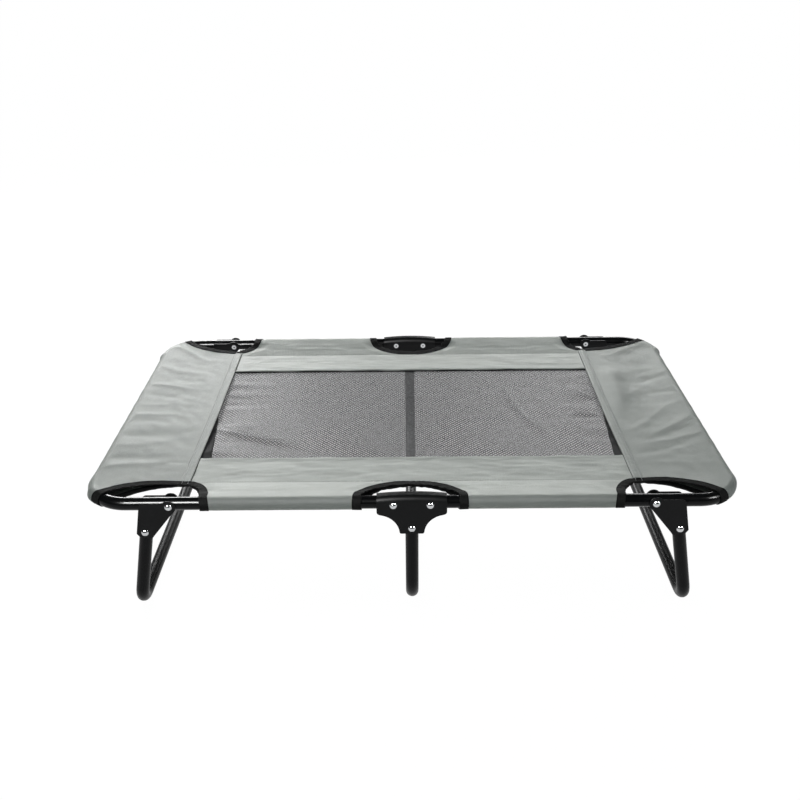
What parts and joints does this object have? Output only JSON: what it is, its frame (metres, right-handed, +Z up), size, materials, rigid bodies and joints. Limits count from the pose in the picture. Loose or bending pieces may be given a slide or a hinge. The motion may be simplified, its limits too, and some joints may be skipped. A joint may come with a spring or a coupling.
{
  "type": "raised dog cot",
  "caption": "Low folding dog cot: grey fabric and mesh cover on a black tube frame that hinges in the middle, with a fixed centre leg and fold-in end legs.",
  "frame": {"origin": "on the floor under the middle of the cot", "axes": "+X along the length, +Y from the front rail to the rear rail, +Z up"},
  "size_m": [1.1006, 0.6914, 0.2357],
  "materials": {
    "powder_coat": "gloss black powder coat",
    "rivet_steel": "bright zinc",
    "fabric": "coated plain weave",
    "mesh": "open knitted mesh",
    "binding_tape": "ribbed binding tape"
  },
  "bodies": {
    "centre_stand": {"front_centre_bracket": "powder_coat", "rear_centre_bracket": "powder_coat", "centre_leg_tube": "powder_coat", "centre_leg_rivets": "rivet_steel", "left_hinge_rivets": "rivet_steel", "right_hinge_rivets": "rivet_steel", "centre_front_cover": "fabric", "centre_rear_cover": "fabric", "centre_mesh": "mesh", "centre_bindings": "binding_tape"},
    "left_half": {"left_frame_tube": "powder_coat", "left_end_cover": "fabric", "left_front_cover": "fabric", "left_rear_cover": "fabric", "left_mesh": "mesh", "left_end_bindings": "binding_tape", "left_sleeve_bindings": "binding_tape", "left_notch_bindings": "binding_tape", "left_seam": "fabric"},
    "left_leg": {"left_leg_tube": "powder_coat", "left_front_leg_bracket": "powder_coat", "left_rear_leg_bracket": "powder_coat", "left_leg_rivets": "rivet_steel", "left_pivot_rivets": "rivet_steel"},
    "right_half": {"right_frame_tube": "powder_coat", "right_end_cover": "fabric", "right_front_cover": "fabric", "right_rear_cover": "fabric", "right_mesh": "mesh", "right_end_bindings": "binding_tape", "right_sleeve_bindings": "binding_tape", "right_notch_bindings": "binding_tape", "right_seam": "fabric"},
    "right_leg": {"right_leg_tube": "powder_coat", "right_front_leg_bracket": "powder_coat", "right_rear_leg_bracket": "powder_coat", "right_leg_rivets": "rivet_steel", "right_pivot_rivets": "rivet_steel"}
  },
  "joints": [
    {"name": "left_frame_fold", "type": "hinge", "parent": "centre_stand", "child": "left_half", "pos_m": [-0.0304, 0, 0.219], "axis": [0, -1, 0], "range_deg": [0, 65]},
    {"name": "right_frame_fold", "type": "hinge", "parent": "centre_stand", "child": "right_half", "pos_m": [0.0304, 0, 0.219], "axis": [0, 1, 0], "range_deg": [0, 65]},
    {"name": "left_leg_fold", "type": "hinge", "parent": "left_half", "child": "left_leg", "pos_m": [-0.4, 0, 0.219], "axis": [0, -1, 0], "range_deg": [0, 100]},
    {"name": "right_leg_fold", "type": "hinge", "parent": "right_half", "child": "right_leg", "pos_m": [0.4, 0, 0.219], "axis": [0, 1, 0], "range_deg": [0, 100]}
  ]
}
